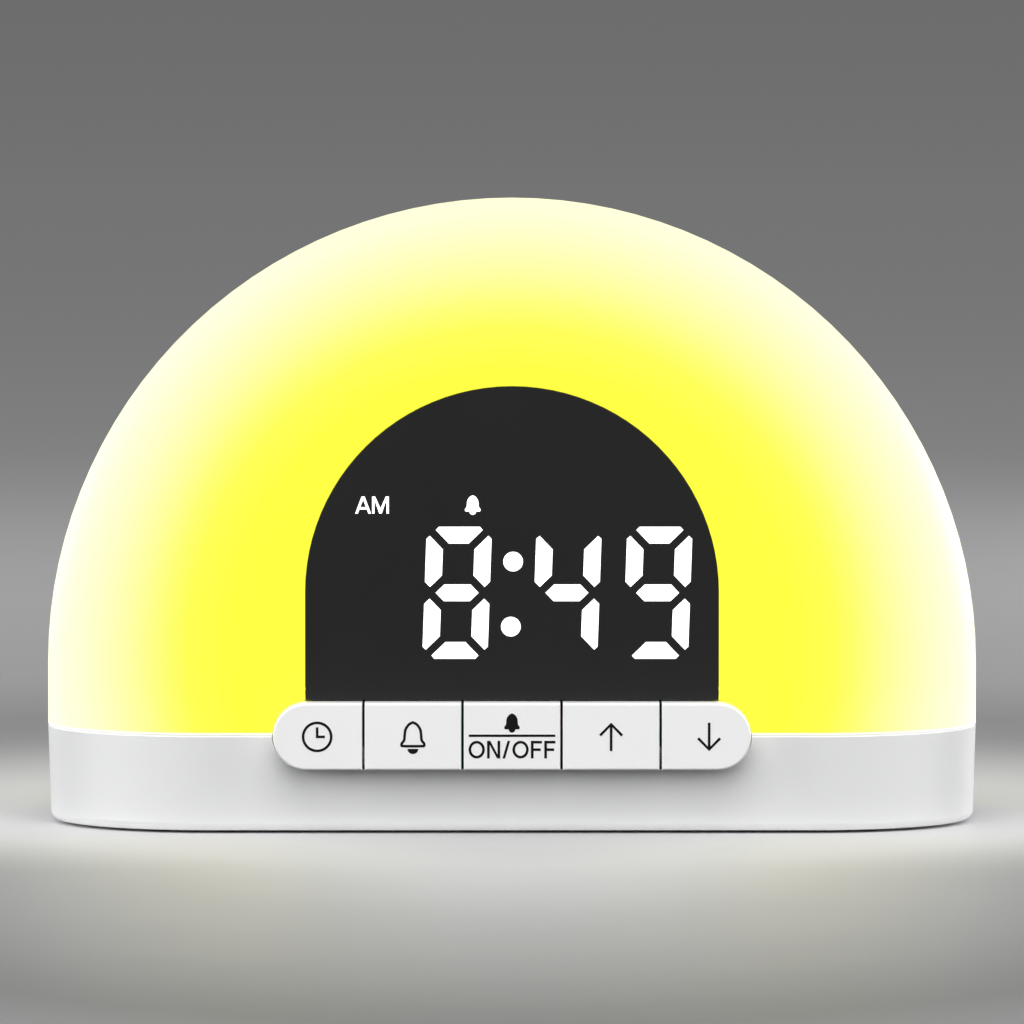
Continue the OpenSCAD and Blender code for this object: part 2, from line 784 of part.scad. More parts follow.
// Centres of the colon's dots, which lean with the digits
colon_dots_at = [for (z = [digit_h * colon_low, digit_h * colon_high])
  [(z - digit_h / 2) * tan(digit_lean), digit_z + z]];

module digit_block() {
  color(BLACK) difference() {
    facing(block_y, block_t) intersection() {
      arch(case_in_w - 2 * block_side, lens_arc_z, case_z + case_wall + block_seat);
      translate([-lens_w, 0]) square([2 * lens_w, block_top]);
    }
    for (x = digit_x) translate([x, 0, digit_z]) for (seg = SEGMENTS)
      facing(block_y - over, block_t + 2 * over) segment_outline(seg);
    for (p = colon_dots_at)
      pointing_back(p[0], block_y - over, p[1]) cylinder(d = colon_d, h = block_t + 2 * over);
    for (window = [[flag_x, flag_size], [bell_x, bell_size]])
      translate([window[0] - window[1][0] / 2, block_y - over, status_z - window[1][1] / 2])
        cube([window[1][0], block_t + 2 * over, window[1][1]]);
    for (p = display_bolts) pointing_front(p[0], block_back + over, p[1])
      screw_hole(M2, over + display_screw_in + tip_room);
  }
}

module hour_tens_segments() { digit_segments(0); }
module hour_units_segments() { digit_segments(1); }
module minute_tens_segments() { digit_segments(2); }
module minute_units_segments() { digit_segments(3); }

module colon_dots() {
  color(LIT) for (p = colon_dots_at) pointing_back(p[0], block_y, p[1]) cylinder(d = colon_d, h = fill_t);
}

module status_windows() {
  color(LIT) for (window = [[flag_x, flag_size], [bell_x, bell_size]])
    translate([window[0] - window[1][0] / 2, block_y, status_z - window[1][1] / 2])
      cube([window[1][0], fill_t, window[1][1]]);
}

module display_board() {
  color(BOARD) difference() {
    facing(block_back, pcb_t) arch(case_in_w - 2 * board_side, lens_arc_z, case_z + case_wall + board_side);
    for (p = display_bolts) pointing_back(p[0], block_back - over, p[1]) bolt_hole(M2, pcb_t + 2 * over);
  }
}

// Middle of a segment, as a place for its light
function segment_middle(seg) =
  let (points = [for (p = segment_points(seg[0])) leaned(p, seg[1], seg[2])], n = len(points))
  [for (axis = [0, 1]) [for (p = points) p[axis]] * [for (p = points) 1] / n];

module display_leds() {
  lights = concat([for (x = digit_x, seg = SEGMENTS) segment_middle(seg) + [x, digit_z]],
    colon_dots_at, [[flag_x, status_z], [bell_x, status_z]]);
  color(LIT) for (p = lights)
    translate([p[0] - led_size[0] / 2, block_back - led_size[1], p[1] - led_size[2] / 2]) cube(led_size);
}

// ---- Lamp ----

// A plate behind the display on a screwed foot, with standoffs for the lamp board
module light_tower() {
  foot_top = seam_z + tower_foot_t;
  color(WHITE) difference() {
    union() {
      facing(case_back, tower_t) arch(tower_w, lens_arc_z, seam_z);
      translate([-tower_w / 2, case_back, seam_z]) cube([tower_w, tower_foot_l, tower_foot_t]);
      for (x = [-gusset_x, gusset_x]) translate([x - gusset_t / 2, 0, 0]) rotate([90, 0, 90])
        linear_extrude(gusset_t) polygon([[tower_back - EPS, foot_top - EPS], [gusset_y, foot_top - EPS],
          [gusset_y, foot_top], [tower_back - EPS, foot_top + gusset_h]]);
      for (p = lamp_bolts)
        pointing_back(p[0], tower_back - EPS, p[1]) cylinder(r = standoff_r, h = lamp_y - tower_back + EPS);
    }
    for (p = lamp_bolts)
      pointing_front(p[0], lamp_y + over, p[1]) screw_hole(M2, over + lamp_screw_in + tip_room);
    for (p = case_bolts) pointing_back(p[0], case_back - over, p[1]) bolt_hole(M2, tower_t + 2 * over);
    for (p = tower_bolts) translate([p[0], p[1], seam_z - over]) bolt_hole(M25, tower_foot_t + 2 * over);
    level_slot(case_back, tower_t, display_ribbon_z);
    upright_slot(lamp_ribbon_w, 0, seam_z, tower_foot_t);
    upright_slot(ribbon_w, display_ribbon_y, seam_z, tower_foot_t);
  }
}

module lamp_board() {
  color(WHITE) difference() {
    facing(lamp_y, pcb_t) arch(2 * lamp_board_r, lens_arc_z, lamp_board_z);
    for (p = lamp_bolts) pointing_back(p[0], lamp_y - over, p[1]) bolt_hole(M2, pcb_t + 2 * over);
    facing(lamp_y - over, pcb_t + 2 * over) translate([0, lens_arc_z]) circle(r = lamp_window_r);
  }
}

// Lamps on an arc of the lamp board, with their back faces at y
module lamp_arc(r, y) {
  color(LIT) for (i = [0:lamp_count - 1]) translate([0, y, lens_arc_z]) rotate([0, -i * lamp_step, 0])
    translate([r - lamp_size[2] / 2, 0, -lamp_size[0] / 2]) cube([lamp_size[2], lamp_size[1], lamp_size[0]]);
}

module front_lamps() { lamp_arc(lamp_arc_r, lamp_y - lamp_size[1]); }
module rear_lamps() { lamp_arc(lamp_arc_r, lamp_y + pcb_t); }

// ---- Keys ----

// A solid key-row bar with a rounded front edge, from y_front back to y_back
module key_bar(r, y_front, y_back, edge) {
  translate([0, 0, row_z]) rotate([90, 0, 0]) round_sweep(spine_half) {
    translate([0, -y_back]) square([r - edge, y_back - y_front]);
    translate([r - edge - EPS, -y_back]) square([edge + EPS, y_back - y_front - edge]);
    intersection() {
      translate([r - edge, -y_front - edge]) circle(r = edge);
      translate([r - edge - EPS, -y_front - edge - EPS]) square(edge + 2 * EPS);
    }
  }
}

// The stretch of the row that one key takes, with small bevels at its front corners
module key_band(place, y_front, y_back, inset, bevel) {
  far = row_half + key_h;
  left = place == 0 ? -far : key_pitch * (place - 2.5) + key_gap / 2 + inset;
  right = place == 4 ? far : key_pitch * (place - 1.5) - key_gap / 2 - inset;
  translate([0, 0, row_z - key_h]) linear_extrude(2 * key_h)
    polygon([[left, y_back], [left, y_front + bevel], [left + bevel, y_front],
      [right - bevel, y_front], [right, y_front + bevel], [right, y_back]]);
}

// A hollow key cap with a flange behind the wall and a post to its switch
module key_cap(place) {
  color(WHITE) {
    difference() {
      intersection() {
        union() {
          key_bar(key_r, key_front, key_flange_back, key_edge_r);
          key_bar(key_r + key_flange_w, key_flange_y, key_flange_back, EPS);
        }
        key_band(place, key_front - EPS, key_flange_back + EPS, 0, key_bevel);
      }
      intersection() {
        key_bar(key_r - key_wall, key_front + key_wall, key_flange_back + over, key_in_r);
        key_band(place, key_front, key_flange_back + over, key_wall, EPS);
      }
    }
    pointing_front(key_x[place], switch_top_y, row_z)
      cylinder(d = key_post_d, h = switch_top_y - key_front - key_wall / 2);
  }
}

module time_key() { key_cap(0); }
module alarm_key() { key_cap(1); }
module alarm_switch_key() { key_cap(2); }
module up_key() { key_cap(3); }
module down_key() { key_cap(4); }

// A switch's stem, which runs down inside its body
module switch_stem(place) {
  color(BLACK) pointing_back(key_x[place], switch_top_y, row_z)
    cylinder(d = stem_d, h = switch_total - switch_h + stem_in);
}

module time_stem() { switch_stem(0); }
module alarm_stem() { switch_stem(1); }
module alarm_switch_stem() { switch_stem(2); }
module up_stem() { switch_stem(3); }
module down_stem() { switch_stem(4); }

module switch_bodies() {
  color(STEEL) for (x = key_x) difference() {
    translate([x - switch_w / 2, button_board_y - switch_h, row_z - switch_w / 2])
      cube([switch_w, switch_h, switch_w]);
    pointing_back(x, button_board_y - switch_h - over, row_z)
      cylinder(d = stem_d + 2 * stem_clear, h = over + stem_bore);
  }
}

module button_board() {
  color(BOARD) difference() {
    translate([-button_board_half, button_board_y, button_board_z])
      cube([2 * button_board_half, pcb_t, button_board_h]);
    for (x = [-button_screw_x, button_screw_x])
      pointing_back(x, button_board_y - over, button_screw_z) bolt_hole(M2, pcb_t + 2 * over);
  }
}

// ---- Electronics in the base ----

module main_board() {
  color(BOARD) difference() {
    translate([-main_board_w / 2, main_board_y0, main_board_z])
      cube([main_board_w, main_board_y1 - main_board_y0, pcb_t]);
    for (p = board_bolts) translate([p[0], p[1], main_board_z - over]) bolt_hole(M2, pcb_t + 2 * over);
  }
}

module controller_chip() {
  color(BLACK) translate([-chip_w / 2, chip_y, main_board_top]) cube([chip_w, chip_w, chip_t]);
}

module capacitors() {
  color(STEEL) for (x = [-can_x, can_x]) translate([x, main_board_y1 - can_d, main_board_top])
    cylinder(d = can_d, h = can_h);
}

module power_socket() {
  y0 = socket_y1 - socket_l;
  color(STEEL) translate([0, 0, socket_z]) difference() {
    facing(y0, socket_l) stadium(socket_spine, socket_h / 2);
    facing(y0 + socket_back_t, socket_l) stadium(socket_spine, socket_h / 2 - socket_wall);
  }
}

module socket_tongue() {
  y0 = socket_y1 - socket_l + socket_back_t;
  color(BLACK) translate([-tongue_size[0] / 2, y0, socket_z - tongue_size[2] / 2]) cube(tongue_size);
}

module speaker_gasket() {
  color(BLACK) translate([speaker_x, 0, 0])
    ring_cut(speaker_r - gasket_w, speaker_r, cover_z, cover_z + gasket_t, 0, 360);
}

// A basket that narrows from its flange to the magnet's seat
module speaker_frame() {
  flange_in_r = speaker_r - speaker_flange_w;
  flange_top = speaker_z + speaker_flange_t;
  seat_r = magnet_r - speaker_flange_w;
  seat_z = speaker_z + basket_h;
  color(STEEL) translate([speaker_x, 0, 0]) rotate_extrude()
    polygon([[flange_in_r, speaker_z], [speaker_r, speaker_z], [speaker_r, flange_top],
      [flange_in_r + basket_t, flange_top], [magnet_r + basket_t, seat_z], [seat_r, seat_z],
      [seat_r, seat_z - basket_t], [magnet_r, seat_z - basket_t], [flange_in_r, flange_top]]);
}

// A paper cone with a domed dust cap, held at its rim inside the flange
module speaker_cone() {
  rim = speaker_r - speaker_flange_w;
  surround = 1.4;
  cap_z = speaker_z + cone_h - cone_t;
  color(BLACK) translate([speaker_x, 0, 0]) rotate_extrude()
    polygon([[rim, speaker_z], [rim, speaker_z + cone_t], [rim - surround, speaker_z + cone_t],
      [cap_r, cap_z + cone_t], [0, cap_z], [0, cap_z - cone_t], [cap_r, cap_z],
      [rim - surround, speaker_z]]);
}

module speaker_magnet() {
  color(STEEL) translate([speaker_x, 0, speaker_z + basket_h]) cylinder(r = magnet_r, h = magnet_h);
}

// ---- Screws ----

module cover_screws() {
  color(STEEL) for (p = cover_bolts) translate([p[0], p[1], cover_seat_z]) screw(M25, cover_screw_l);
}

module tower_screws() {
  color(STEEL) for (p = tower_bolts) translate([p[0], p[1], seam_z + tower_foot_t])
    rotate([180, 0, 0]) screw(M25, tower_foot_t + deck_t + screw_past);
}

module case_screws() {
  color(STEEL) for (p = case_bolts)
    pointing_front(p[0], tower_back, p[1]) screw(M2, tower_t + case_wall + post_h - head_sink);
}

module display_screws() {
  color(STEEL) for (p = display_bolts)
    pointing_front(p[0], block_back + pcb_t, p[1]) screw(M2, pcb_t + display_screw_in);
}

module lamp_screws() {
  color(STEEL) for (p = lamp_bolts)
    pointing_front(p[0], lamp_y + pcb_t, p[1]) screw(M2, pcb_t + lamp_screw_in);
}

module main_board_screws() {
  color(STEEL) for (p = board_bolts) translate([p[0], p[1], main_board_z]) screw(M2, pcb_t + board_screw_in);
}

module button_board_screws() {
  color(STEEL) for (x = [-button_screw_x, button_screw_x])
    pointing_back(x, button_board_y, button_screw_z) screw(M2, pcb_t + apron_t + screw_past);
}

// ---- Ribbons ----

// A flat ribbon that follows an outline drawn in Y and Z
module ribbon(width, points) {
  color(STEEL) translate([-width / 2, 0, 0]) rotate([90, 0, 90]) linear_extrude(width) polygon(points);
}

// An L-shaped ribbon: back from y0 at height z, then down to the main board with its middle at y
module bent_ribbon(y0, z, y) {
  half = ribbon_t / 2;
  ribbon(ribbon_w, [[y0, z - half], [y - half, z - half], [y - half, main_board_top],
    [y + half, main_board_top], [y + half, z + half], [y0, z + half]]);
}

module lamp_ribbon() {
  half = ribbon_t / 2;
  ribbon(lamp_ribbon_w, [[-half, main_board_top], [half, main_board_top], [half, lamp_board_z],
    [-half, lamp_board_z]]);
}

module display_ribbon() { bent_ribbon(block_back + pcb_t, display_ribbon_z, display_ribbon_y); }
module button_ribbon() { bent_ribbon(button_board_back, button_ribbon_z, button_ribbon_y); }

diffuser_dome();
base_housing();
bottom_cover();
display_lens();
display_case();
digit_block();
hour_tens_segments();
hour_units_segments();
minute_tens_segments();
minute_units_segments();
colon_dots();
status_windows();
display_board();
display_leds();
light_tower();
lamp_board();
front_lamps();
rear_lamps();
button_board();
switch_bodies();
time_key();
alarm_key();
alarm_switch_key();
up_key();
down_key();
time_stem();
alarm_stem();
alarm_switch_stem();
up_stem();
down_stem();
main_board();
controller_chip();
capacitors();
power_socket();
socket_tongue();
speaker_frame();
speaker_cone();
speaker_magnet();
speaker_gasket();
battery_door();
backup_cell();
cell_contacts();
rubber_feet();
cover_screws();
tower_screws();
case_screws();
display_screws();
lamp_screws();
main_board_screws();
button_board_screws();
lamp_ribbon();
display_ribbon();
button_ribbon();
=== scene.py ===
"""Sunrise alarm clock: finishes, lit display, printed key signs, floor, light and camera."""

import json
import math

import bpy
from mathutils import Matrix, Vector

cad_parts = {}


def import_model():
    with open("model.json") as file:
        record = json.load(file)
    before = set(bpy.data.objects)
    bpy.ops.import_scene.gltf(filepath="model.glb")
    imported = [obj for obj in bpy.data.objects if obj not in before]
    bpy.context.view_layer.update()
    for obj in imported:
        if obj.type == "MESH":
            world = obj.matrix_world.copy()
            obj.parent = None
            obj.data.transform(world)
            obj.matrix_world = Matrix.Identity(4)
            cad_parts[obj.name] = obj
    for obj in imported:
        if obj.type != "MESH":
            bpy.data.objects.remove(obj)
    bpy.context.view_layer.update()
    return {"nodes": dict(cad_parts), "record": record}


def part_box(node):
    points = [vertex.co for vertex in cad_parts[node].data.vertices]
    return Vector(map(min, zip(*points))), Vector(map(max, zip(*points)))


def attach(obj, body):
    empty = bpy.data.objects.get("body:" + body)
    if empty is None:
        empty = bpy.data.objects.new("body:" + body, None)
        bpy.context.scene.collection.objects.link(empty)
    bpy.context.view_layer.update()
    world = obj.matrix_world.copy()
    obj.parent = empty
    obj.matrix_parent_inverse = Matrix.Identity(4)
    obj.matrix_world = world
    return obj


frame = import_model()
nodes = frame["nodes"]
MM = 0.001

# ---- Places, read from the frame ----

dome_low, dome_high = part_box("diffuser_dome")
DISC_R = (dome_high.x - dome_low.x) / 2
DISC_Z = dome_high.z - DISC_R
RIM_R = (dome_high.y - dome_low.y) / 2
LENS_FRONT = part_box("display_lens")[0].y
KEYS = ["time_key", "alarm_key", "alarm_switch_key", "up_key", "down_key"]


def middle(low, high):
    return (low + high) / 2


# ---- Materials ----

def new_material(name):
    material = bpy.data.materials.new(name)
    material.use_nodes = True
    tree = material.node_tree
    shader = tree.nodes["Principled BSDF"]
    return material, tree, shader


def object_coordinates(tree):
    return tree.nodes.new("ShaderNodeTexCoord").outputs["Object"]


def noise(tree, scale, detail=2.0):
    """Noise in the frame's own metres; scale is in waves per metre."""
    node = tree.nodes.new("ShaderNodeTexNoise")
    node.inputs["Scale"].default_value = scale
    node.inputs["Detail"].default_value = detail
    tree.links.new(object_coordinates(tree), node.inputs["Vector"])
    return node.outputs["Fac"]


def ranged(tree, value, low, high, from_low=0.0, from_high=1.0, blend="LINEAR"):
    """Maps a value of from_low to from_high to low to high."""
    node = tree.nodes.new("ShaderNodeMapRange")
    node.interpolation_type = blend
    node.inputs["From Min"].default_value = from_low
    node.inputs["From Max"].default_value = from_high
    node.inputs["To Min"].default_value = low
    node.inputs["To Max"].default_value = high
    tree.links.new(value, node.inputs["Value"])
    return node.outputs["Result"]


def along(tree, axis):
    """The frame's own X, Y or Z in metres."""
    place = tree.nodes.new("ShaderNodeSeparateXYZ")
    tree.links.new(object_coordinates(tree), place.inputs[0])
    return place.outputs[axis]


def distance_from(tree, middle_at, stretch):
    """Distance in metres from middle_at, with each axis multiplied by its stretch."""
    moved_by = tree.nodes.new("ShaderNodeVectorMath")
    moved_by.operation = "SUBTRACT"
    moved_by.inputs[1].default_value = middle_at
    tree.links.new(object_coordinates(tree), moved_by.inputs[0])
    scaled = tree.nodes.new("ShaderNodeVectorMath")
    scaled.operation = "MULTIPLY"
    scaled.inputs[1].default_value = stretch
    tree.links.new(moved_by.outputs["Vector"], scaled.inputs[0])
    length = tree.nodes.new("ShaderNodeVectorMath")
    length.operation = "LENGTH"
    tree.links.new(scaled.outputs["Vector"], length.inputs[0])
    return length.outputs["Value"]


def ramp(tree, value, stops):
    """Colour ramp from (position, (r, g, b)) stops."""
    node = tree.nodes.new("ShaderNodeValToRGB")
    band = node.color_ramp
    while len(band.elements) < len(stops):
        band.elements.new(0.5)
    for element, (position, colour) in zip(band.elements, stops):
        element.position = position
        element.color = (*colour, 1)
    tree.links.new(value, node.inputs["Fac"])
    return node.outputs["Color"]


def mixed(tree, factor, first, second):
    """The first colour at factor 0 and the second at 1."""
    node = tree.nodes.new("ShaderNodeMix")
    node.data_type = "RGBA"
    tree.links.new(factor, node.inputs["Factor"])
    for socket, colour in (("A", first), ("B", second)):
        if isinstance(colour, tuple):
            node.inputs[socket].default_value = (*colour, 1)
        else:
            tree.links.new(colour, node.inputs[socket])
    return node.outputs["Result"]


def bump(tree, shader, height, distance):
    node = tree.nodes.new("ShaderNodeBump")
    node.inputs["Distance"].default_value = distance
    tree.links.new(height, node.inputs["Height"])
    tree.links.new(node.outputs["Normal"], shader.inputs["Normal"])


def uneven_gloss(tree, shader, value, low, high):
    tree.links.new(ranged(tree, value, low, high), shader.inputs["Roughness"])


def moulded(name, colour, roughness, tint=0.02, grain=9000.0, depth=0.004 * MM, specular=0.5):
    """Moulded plastic or sheet: a faint cloudiness of colour, a fine grain and an uneven gloss."""
    material, tree, shader = new_material(name)
    shader.inputs["Specular IOR Level"].default_value = specular
    darker = tuple(c * (1 - tint) for c in colour)
    lighter = tuple(min(1, c * (1 + tint)) for c in colour)
    cloud = ramp(tree, noise(tree, 60.0, 3.0), [(0.3, darker), (0.7, lighter)])
    tree.links.new(cloud, shader.inputs["Base Color"])
    uneven_gloss(tree, shader, noise(tree, 400.0), roughness - 0.05, roughness + 0.05)
    bump(tree, shader, noise(tree, grain), depth)
    return material


GLOW_RISE = 4.0 * MM
# Share of blue by distance from the lamps, as a share of the disc's radius
GLOW_BLUE = [(0.0, 0.038), (0.6, 0.044), (0.69, 0.07), (0.74, 0.145), (0.84, 0.38), (0.93, 0.6), (1.0, 0.72)]
GLOW_LIGHT, GLOW_SURFACE = 1.0, 0.25
# Painted highlight along the seam: full up to the low height above the dome's lower edge, fading out by the
# high one
PAINTED_SEAM_LINE_LOW, PAINTED_SEAM_LINE_HIGH = 0.25 * MM, 0.4 * MM


def glowing_diffuser():
    """Lit from inside: deep yellow round the lamps, paling to the rim by distance from the disc's axis.
    A painted highlight mixes the cut edge just above the seam towards white, in glow and surface colour
    alike, so it shows as a bright white line."""
    material, tree, shader = new_material("glowing_diffuser")
    reach = distance_from(tree, (0, 0, DISC_Z + GLOW_RISE), (1, 0, 1))
    radius = ranged(tree, reach, 0.0, 1.0, 0.0, DISC_R)
    # Painted highlight: the dome's cut edge is mixed towards white as a bright seam line
    seam_line_low, seam_line_high = dome_low.z + PAINTED_SEAM_LINE_LOW, dome_low.z + PAINTED_SEAM_LINE_HIGH
    edge = ranged(tree, along(tree, "Z"), 0.85, 0.0, seam_line_low, seam_line_high)
    for socket, share in (("Emission Color", GLOW_LIGHT), ("Base Color", GLOW_SURFACE)):
        glow = ramp(tree, radius, [(at, (share, share, share * blue)) for at, blue in GLOW_BLUE])
        tree.links.new(mixed(tree, edge, glow, (share, share, share)), shader.inputs[socket])
    shader.inputs["Emission Strength"].default_value = 0.86
    shader.inputs["Specular IOR Level"].default_value = 0.25
    uneven_gloss(tree, shader, noise(tree, 300.0), 0.5, 0.6)
    bump(tree, shader, noise(tree, 7000.0), 0.003 * MM)
    return material


def lit(name, colour, strength):
    """A surface that a lamp lights from behind, with a faint unevenness."""
    material, tree, shader = new_material(name)
    dimmer = tuple(c * 0.94 for c in colour)
    cloud = ramp(tree, noise(tree, 500.0), [(0.35, dimmer), (0.65, colour)])
    tree.links.new(cloud, shader.inputs["Emission Color"])
    shader.inputs["Emission Strength"].default_value = strength
    shader.inputs["Base Color"].default_value = (*colour, 1)
    shader.inputs["Roughness"].default_value = 0.5
    return material


def smoked_lens():
    """Dark satin acrylic, printed black behind."""
    material, tree, shader = new_material("smoked_lens")
    darker, lighter = (0.0105, 0.0105, 0.011), (0.012, 0.012, 0.0125)
    cloud = ramp(tree, noise(tree, 25.0), [(0.3, darker), (0.7, lighter)])
    tree.links.new(cloud, shader.inputs["Base Color"])
    uneven_gloss(tree, shader, noise(tree, 150.0), 0.3, 0.36)
    shader.inputs["Specular IOR Level"].default_value = 0.2
    bump(tree, shader, noise(tree, 5000.0), 0.001 * MM)
    return material


def circuit_board():
    """Green mask over copper, which shows as slightly raised paler tracks."""
    material, tree, shader = new_material("circuit_board")
    tracks = tree.nodes.new("ShaderNodeTexBrick")
    tracks.inputs["Scale"].default_value = 260.0
    tracks.inputs["Mortar Size"].default_value = 0.03
    tracks.inputs["Color1"].default_value = (0.012, 0.11, 0.04, 1)
    tracks.inputs["Color2"].default_value = (0.014, 0.13, 0.05, 1)
    tracks.inputs["Mortar"].default_value = (0.04, 0.24, 0.1, 1)
    tree.links.new(object_coordinates(tree), tracks.inputs["Vector"])
    tree.links.new(tracks.outputs["Color"], shader.inputs["Base Color"])
    uneven_gloss(tree, shader, noise(tree, 600.0), 0.25, 0.35)
    bump(tree, shader, tracks.outputs["Fac"], 0.02 * MM)
    return material


def brushed_metal(name, colour, roughness):
    """Plated metal with fine marks along X."""
    material, tree, shader = new_material(name)
    shader.inputs["Metallic"].default_value = 1.0
    mapping = tree.nodes.new("ShaderNodeMapping")
    mapping.inputs["Scale"].default_value = (300.0, 6000.0, 6000.0)
    tree.links.new(object_coordinates(tree), mapping.inputs["Vector"])
    marks = tree.nodes.new("ShaderNodeTexNoise")
    marks.inputs["Scale"].default_value = 1.0
    tree.links.new(mapping.outputs["Vector"], marks.inputs["Vector"])
    mark = marks.outputs["Fac"]
    darker = tuple(c * 0.85 for c in colour)
    tree.links.new(ramp(tree, mark, [(0.3, darker), (0.7, colour)]), shader.inputs["Base Color"])
    uneven_gloss(tree, shader, mark, roughness - 0.08, roughness + 0.08)
    bump(tree, shader, mark, 0.002 * MM)
    return material


MATERIALS = {
    "glow_diffuser": glowing_diffuser(),
    "white_shell": moulded("white_shell", (0.85, 0.853, 0.858), 0.42, 0.008),
    "white_key": moulded("white_key", (0.95, 0.955, 0.95), 0.36, 0.008, 12000.0, 0.002 * MM),
    "smoked_lens": smoked_lens(),
    "black_moulding": moulded("black_moulding", (0.014, 0.014, 0.015), 0.55, 0.1),
    "lit_segment": lit("lit_segment", (1.0, 1.0, 0.98), 1.0),
    "circuit_board": circuit_board(),
    "white_inner": moulded("white_inner", (0.8, 0.8, 0.8), 0.6, 0.02),
    "bright_metal": brushed_metal("bright_metal", (0.72, 0.72, 0.74), 0.3),
    "speaker_paper": moulded("speaker_paper", (0.02, 0.02, 0.02), 0.85, 0.25, 3000.0, 0.05 * MM),
    "foot_rubber": moulded("foot_rubber", (0.018, 0.018, 0.02), 0.8, 0.15, 5000.0, 0.02 * MM),
    "screw_steel": brushed_metal("screw_steel", (0.62, 0.62, 0.64), 0.28),
    "ribbon": moulded("ribbon", (0.75, 0.75, 0.74), 0.4, 0.03),
}

for part in frame["record"]["subparts"]:
    piece = nodes[part["node"]]
    piece.data.materials.clear()
    piece.data.materials.append(MATERIALS[part["material_slot"]])

# ---- Flat pieces: the lit display and the printed signs ----

CURVE_STEPS = 24


def flat_piece(name, loops, middle_at, thickness, material, body):
    """A thin plate in the X-Z plane, from closed outlines in millimetres about its middle.
    An outline inside another is a hole. The plate's back face lies at middle_at's Y."""
    curve = bpy.data.curves.new(name, "CURVE")
    curve.dimensions = "2D"
    curve.fill_mode = "BOTH"
    curve.extrude = thickness / 2
    for loop in loops:
        spline = curve.splines.new("POLY")
        spline.points.add(len(loop) - 1)
        for point, (x, z) in zip(spline.points, loop):
            point.co = (x * MM, z * MM, 0, 1)
        spline.use_cyclic_u = True
    drawn = bpy.data.objects.new(name + "_curve", curve)
    mesh = bpy.data.meshes.new_from_object(drawn)
    bpy.data.objects.remove(drawn)
    bpy.data.curves.remove(curve)
    upright = Matrix.Rotation(math.radians(90), 4, "X")
    place = Matrix.Translation(middle_at - Vector((0, thickness / 2, 0)))
    mesh.transform(place @ upright)
    mesh.name = name
    mesh.materials.clear()
    mesh.materials.append(material)
    piece = bpy.data.objects.new(name, mesh)
    bpy.context.scene.collection.objects.link(piece)
    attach(piece, body)
    return piece


def moved(loops, x, z):
    return [[(px + x, pz + z) for px, pz in loop] for loop in loops]


def inset(loop, amount):
    """The outline moved inwards by amount, with its corners kept sharp."""
    area = sum(x0 * z1 - x1 * z0 for (x0, z0), (x1, z1) in zip(loop, loop[1:] + loop[:1]))
    inwards = math.copysign(amount, area)
    out = []
    for before, at, after in zip(loop[-1:] + loop[:-1], loop, loop[1:] + loop[:1]):
        into = Vector(at) - Vector(before)
        away = Vector(after) - Vector(at)
        into.normalize()
        away.normalize()
        normal_in = Vector((-into.y, into.x))
        normal_out = Vector((-away.y, away.x))
        shift = (normal_in + normal_out) * inwards / (1 + normal_in.dot(normal_out))
        out.append((at[0] + shift.x, at[1] + shift.y))
    return out


def circle(r, squash=1.0):
    turn = [math.pi * i / CURVE_STEPS for i in range(2 * CURVE_STEPS)]
    return [(r * math.cos(a), r * squash * math.sin(a)) for a in turn]


def ring(r, stroke, squash=1.0):
    """Two outlines of a ring whose stroke is even all round."""
    inner = r - stroke
    return [circle(r, squash=squash), circle(inner, squash=(r * squash - stroke) / inner)]


def bar(w, stroke):
    """A level stroke with square ends."""
    return [[(-w / 2, stroke / 2), (w / 2, stroke / 2), (w / 2, -stroke / 2), (-w / 2, -stroke / 2)]]


def smooth(points):
    """A Catmull-Rom curve through the points."""
    steps = 5
    before = tuple(2 * a - b for a, b in zip(points[0], points[1]))
    after = tuple(2 * a - b for a, b in zip(points[-1], points[-2]))
    p = [before, *points, after]
    out = []
    for i in range(1, len(p) - 2):
        for k in range(steps):
            t = k / steps
            out.append(tuple(
                0.5 * (2 * b + (c - a) * t + (2 * a - 5 * b + 4 * c - d) * t * t
                       + (3 * b - a - 3 * c + d) * t ** 3)
                for a, b, c, d in zip(p[i - 1], p[i], p[i + 1], p[i + 2])))
    return out + [points[-1]]


# Seven-segment digits, from the same formula as the CAD segments

DIGIT_H = 23.4
DIGIT_W = 11.6
STROKE = 3.1
GAP = 1.3
MITRE_FLAT = 0.65
MITRE_CUT = 1.25
CROSS_IN = 1.0
LEAN = math.tan(math.radians(2))
UPRIGHT, LEVEL, CROSS = range(3)
# Shape of each segment, and whether it is mirrored left to right and top to bottom
SEGMENTS = {"a": (LEVEL, False, False), "b": (UPRIGHT, True, False), "c": (UPRIGHT, True, True),
            "d": (LEVEL, False, True), "e": (UPRIGHT, False, True), "f": (UPRIGHT, False, False),
            "g": (CROSS, False, False)}
LIT_SEGMENTS = {8: "abcdefg", 4: "bcfg", 9: "abcdfg"}
TIME_SHOWN = {"hour_units": 8, "minute_tens": 4, "minute_units": 9}


def segment_points(shape):
    """Outline from the digit's top left corner, with the second value downwards."""
    c, w, mid, t = GAP / math.sqrt(2), DIGIT_W, DIGIT_H / 2, STROKE
    if shape == UPRIGHT:
        return [(0, c + MITRE_CUT), (MITRE_FLAT, c + MITRE_FLAT), (t, c + t),
                (t, mid + CROSS_IN - c - t), (CROSS_IN, mid - c), (0, mid - c - CROSS_IN)]
    if shape == LEVEL:
        return [(c + MITRE_CUT, 0), (w - c - MITRE_CUT, 0), (w - c - MITRE_FLAT, MITRE_FLAT),
                (w - c - t, t), (c + t, t), (c + MITRE_FLAT, MITRE_FLAT)]
    left, right = CROSS_IN + c, w - CROSS_IN - c
    return [(left, mid), (left + t / 2, mid - t / 2), (right - t / 2, mid - t / 2),
            (right, mid), (right - t / 2, mid + t / 2), (left + t / 2, mid + t / 2)]


